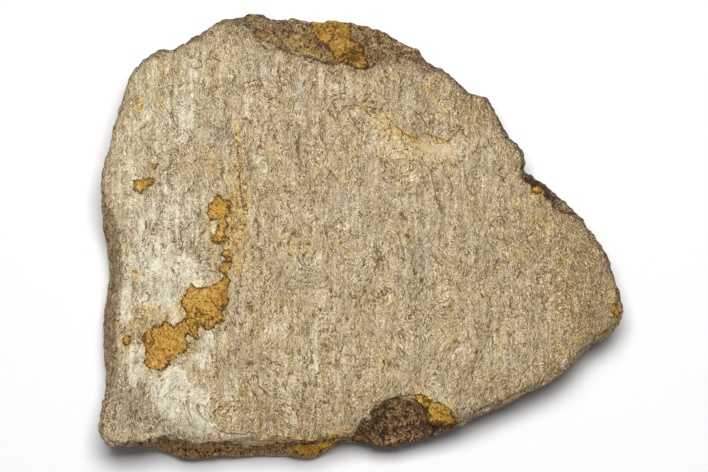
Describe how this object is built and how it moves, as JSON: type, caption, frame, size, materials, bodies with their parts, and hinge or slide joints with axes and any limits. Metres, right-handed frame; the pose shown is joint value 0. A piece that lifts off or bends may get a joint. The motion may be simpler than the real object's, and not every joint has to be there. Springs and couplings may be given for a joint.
{
  "type": "fossil triceratops frill section",
  "caption": "Broken slab of fossil frill bone that lies flat, with a grained upper face, a spalled back edge, a chipped pocket in front and iron-stained crust.",
  "frame": {"origin": "under the middle of the slab's outline, on the surface it rests on", "axes": "+X towards the blunt tip, +Y along the bone's grain towards the spalled back edge, +Z out of the upper face"},
  "size_m": [0.1816, 0.1562, 0.0282],
  "materials": {
    "bone": "matt, rough and finely pored fossil bone"
  },
  "bodies": {
    "root": {"frill_section": "bone"}
  },
  "joints": []
}
